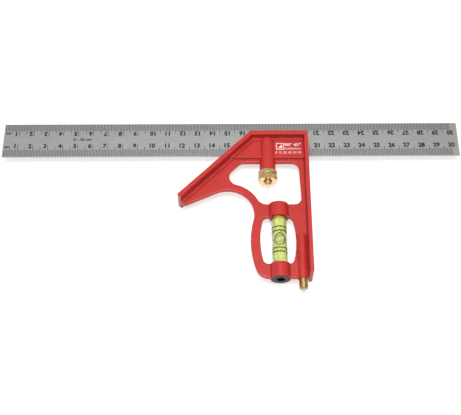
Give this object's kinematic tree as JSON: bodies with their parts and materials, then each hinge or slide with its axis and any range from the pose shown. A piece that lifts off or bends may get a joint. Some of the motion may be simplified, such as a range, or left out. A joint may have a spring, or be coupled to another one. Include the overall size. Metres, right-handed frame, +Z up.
{
  "type": "combination square",
  "caption": "Combination square: a cast head with 90 and 45 degree faces, a level vial and a scriber, which slides along a grooved steel rule and clamps with a spool nut.",
  "frame": {"origin": "below the middle of the whole tool, on the surface that the head's back rests on", "axes": "+X along the blade towards its 30 cm end, +Y towards the blade's far edge, +Z up, out of the face that carries the graduations"},
  "size_m": [0.3048, 0.1208, 0.017],
  "materials": {
    "red_powder_coat": "gloss red powder coat on die-cast metal",
    "satin_steel": "satin ground stainless steel with etched dark graduations",
    "brass_plated_steel": "turned steel with a pale yellow plating",
    "spring_steel": "drawn spring wire",
    "brass": "turned brass, straight knurl on the nut",
    "clear_acrylic": "clear polished acrylic",
    "level_spirit": "yellow-green level spirit",
    "amber_plastic": "amber moulded plastic",
    "black_rubber": "black rubber pad",
    "black_plastic": "black moulded plastic",
    "nylon": "natural nylon",
    "hardened_steel": "hardened, ground needle"
  },
  "bodies": {
    "head": {"head_casting": "red_powder_coat", "lock_spring": "spring_steel", "vial_tube": "clear_acrylic", "vial_liquid": "level_spirit", "vial_cap": "amber_plastic", "vial_cushion": "black_rubber", "vial_plug": "black_plastic", "scriber_sleeve": "nylon"},
    "rule": {"blade": "satin_steel"},
    "clamp_bolt": {"lock_bolt": "brass_plated_steel"},
    "clamp_nut": {"lock_nut": "brass"},
    "scriber": {"scriber_knob": "brass", "scriber_needle": "hardened_steel"}
  },
  "joints": [
    {"name": "blade_slide", "type": "slide", "parent": "head", "child": "rule", "axis": [1, 0, 0], "range_m": [-0.114, 0.165]},
    {"name": "nut_spin", "type": "hinge", "parent": "head", "child": "clamp_nut", "pos_m": [0.0243, 0.02, 0.0085], "axis": [0, -1, 0], "range_deg": [0, 360]},
    {"name": "bolt_release", "type": "slide", "parent": "head", "child": "clamp_bolt", "axis": [0, 1, 0], "range_m": [0, 0.0008]},
    {"name": "scriber_pull", "type": "slide", "parent": "head", "child": "scriber", "axis": [0, -1, 0], "range_m": [0, 0.028]}
  ],
  "couplings": [
    {"joint": "bolt_release", "follows": "nut_spin", "m_per_rad": 0.0001273}
  ]
}
